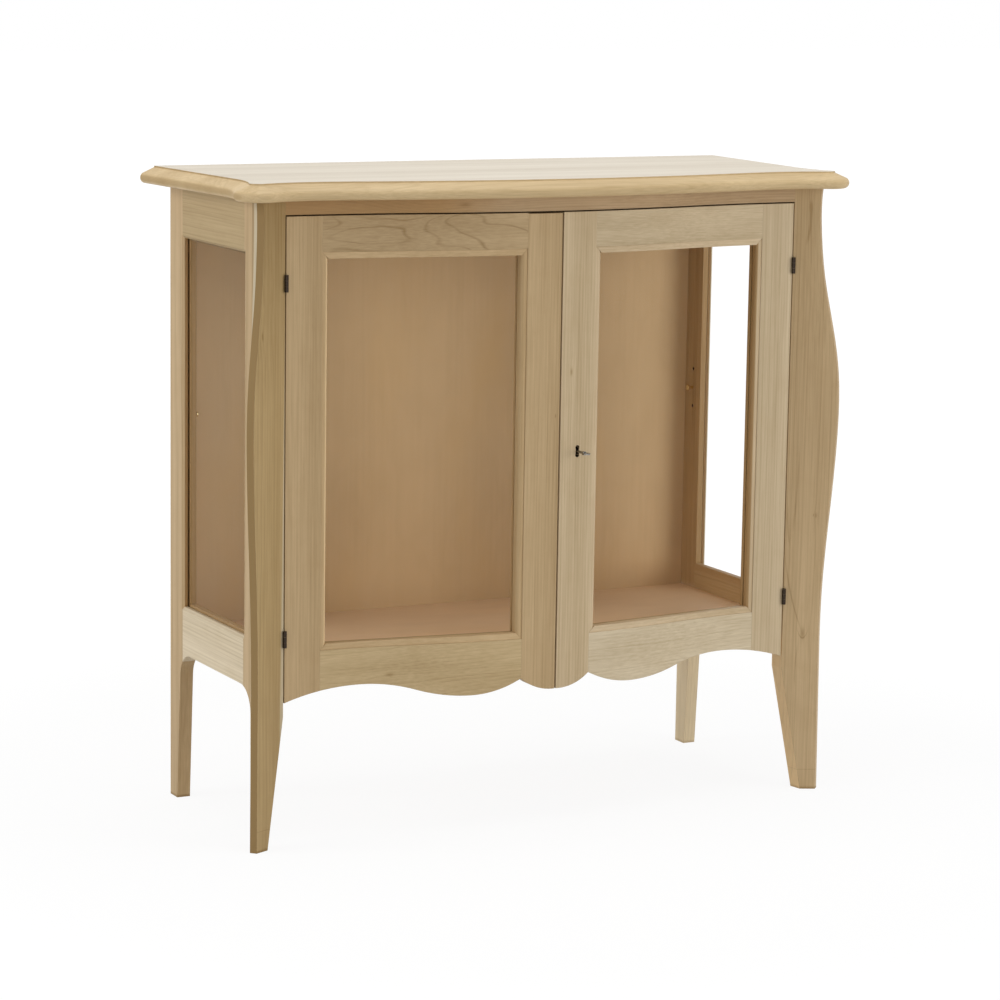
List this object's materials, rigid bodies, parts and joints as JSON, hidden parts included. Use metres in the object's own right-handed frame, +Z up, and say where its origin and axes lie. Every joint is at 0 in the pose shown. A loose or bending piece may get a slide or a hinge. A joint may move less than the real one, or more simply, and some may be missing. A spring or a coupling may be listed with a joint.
{
  "type": "display cabinet",
  "caption": "Raw wood display cabinet with a serpentine front, two glazed doors, glazed sides, swelling corner legs and a moulded top; doors, lock, key and slide bolts move.",
  "frame": {"origin": "on the floor, under the middle of the bounding box", "axes": "+X to the viewer's right along the width, +Y from the front towards the back, +Z up; the doors face -Y"},
  "size_m": [1.067, 0.4545, 1.02],
  "materials": {
    "raw_wood": "raw sanded hardwood, straight grain, no varnish",
    "top_wood": "raw sanded wood, paler and cooler than the rest",
    "back_ply": "smooth plywood",
    "floor_ply": "smooth plywood, slightly pink",
    "clear_glass": "clear float glass",
    "dark_bronze": "dark bronzed",
    "pin_brass": "bright",
    "lock_brass": "brushed",
    "bright_steel": "satin nickel-plated steel"
  },
  "bodies": {
    "cabinet": {"back_bottom_rail": "raw_wood", "back_leg_left": "raw_wood", "back_leg_right": "raw_wood", "back_panel": "back_ply", "back_top_rail": "raw_wood", "floor_bearer_left": "raw_wood", "floor_bearer_right": "raw_wood", "floor_panel": "floor_ply", "front_bottom_rail": "raw_wood", "front_leg_left": "raw_wood", "front_leg_right": "raw_wood", "front_top_rail": "raw_wood", "hinge_frame_leaves_left": "dark_bronze", "hinge_frame_leaves_right": "dark_bronze", "shelf_pins": "pin_brass", "side_beads_left": "raw_wood", "side_beads_right": "raw_wood", "side_bottom_rail_left": "raw_wood", "side_bottom_rail_right": "raw_wood", "side_glass_left": "clear_glass", "side_glass_right": "clear_glass", "side_stile_left": "raw_wood", "side_stile_right": "raw_wood", "side_top_rail_left": "raw_wood", "side_top_rail_right": "raw_wood", "top_board": "top_wood", "top_cleat_left": "raw_wood", "top_cleat_right": "raw_wood"},
    "left_door": {"door_beads_left": "raw_wood", "door_bottom_rail_left": "raw_wood", "door_glass_left": "clear_glass", "door_hinge_stile_left": "raw_wood", "door_meeting_stile_left": "raw_wood", "door_moulding_left": "raw_wood", "door_top_rail_left": "raw_wood", "hinge_door_leaves_left": "dark_bronze", "slide_guides_bottom": "bright_steel", "slide_guides_top": "bright_steel", "strike_plate": "lock_brass"},
    "right_door": {"door_beads_right": "raw_wood", "door_bottom_rail_right": "raw_wood", "door_glass_right": "clear_glass", "door_hinge_stile_right": "raw_wood", "door_meeting_stile_right": "raw_wood", "door_moulding_right": "raw_wood", "door_top_rail_right": "raw_wood", "hinge_door_leaves_right": "dark_bronze", "lock_case": "lock_brass"},
    "key": {"key": "bright_steel"},
    "lock_bolt": {"lock_bolt": "bright_steel"},
    "top_slide_bolt": {"slide_bolt_top": "bright_steel"},
    "bottom_slide_bolt": {"slide_bolt_bottom": "bright_steel"}
  },
  "joints": [
    {"name": "left_door_hinge", "type": "hinge", "parent": "cabinet", "child": "left_door", "pos_m": [-0.44505, -0.1516, 0.6], "axis": [0, 0, -1], "range_deg": [0, 140]},
    {"name": "right_door_hinge", "type": "hinge", "parent": "cabinet", "child": "right_door", "pos_m": [0.44505, -0.1516, 0.6], "axis": [0, 0, 1], "range_deg": [0, 140]},
    {"name": "key_turn", "type": "hinge", "parent": "right_door", "child": "key", "pos_m": [0.032, -0.18, 0.594], "axis": [0, -1, 0], "range_deg": [-90, 270]},
    {"name": "lock_bolt_slide", "type": "slide", "parent": "right_door", "child": "lock_bolt", "axis": [-1, 0, 0], "range_m": [-0.003, 0.009]},
    {"name": "top_slide_bolt_slide", "type": "slide", "parent": "left_door", "child": "top_slide_bolt", "axis": [0, 0, 1], "range_m": [0, 0.009]},
    {"name": "bottom_slide_bolt_slide", "type": "slide", "parent": "left_door", "child": "bottom_slide_bolt", "axis": [0, 0, -1], "range_m": [0, 0.009]}
  ],
  "couplings": [
    {"joint": "key_turn", "follows": "lock_bolt_slide", "rad_per_m": 523.59}
  ]
}
